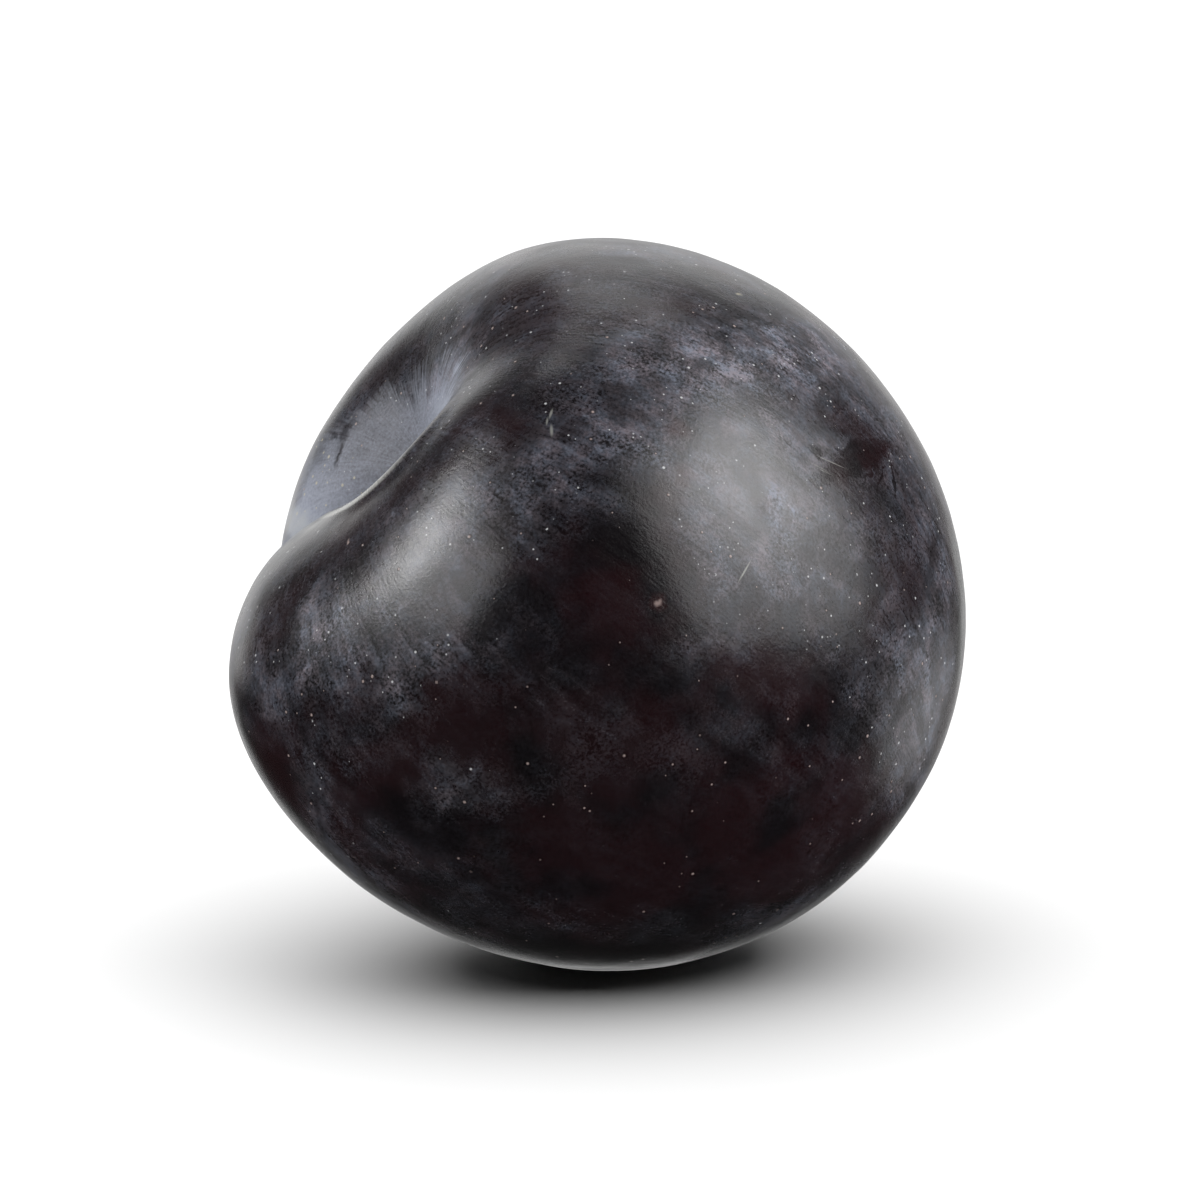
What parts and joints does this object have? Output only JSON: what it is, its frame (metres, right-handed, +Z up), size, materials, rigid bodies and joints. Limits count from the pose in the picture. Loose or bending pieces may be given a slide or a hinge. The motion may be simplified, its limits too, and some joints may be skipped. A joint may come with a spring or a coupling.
{
  "type": "plum",
  "caption": "Whole dark dessert plum lying on its side: a rounded drupe with a stem cavity, a suture crease, a fuller cheek and a small flat to rest on.",
  "frame": {"origin": "on the table, under the middle of the fruit's box", "axes": "+Z up; -Y towards the viewer; the stem end points up, to -X and a little to -Y; the blossom end points down and to +X"},
  "size_m": [0.0612, 0.0642, 0.0592],
  "materials": {
    "plum_skin": "waxy purple-black skin under a bluish-grey bloom, with pale pinkish dots"
  },
  "bodies": {
    "root": {"plum": "plum_skin"}
  },
  "joints": []
}
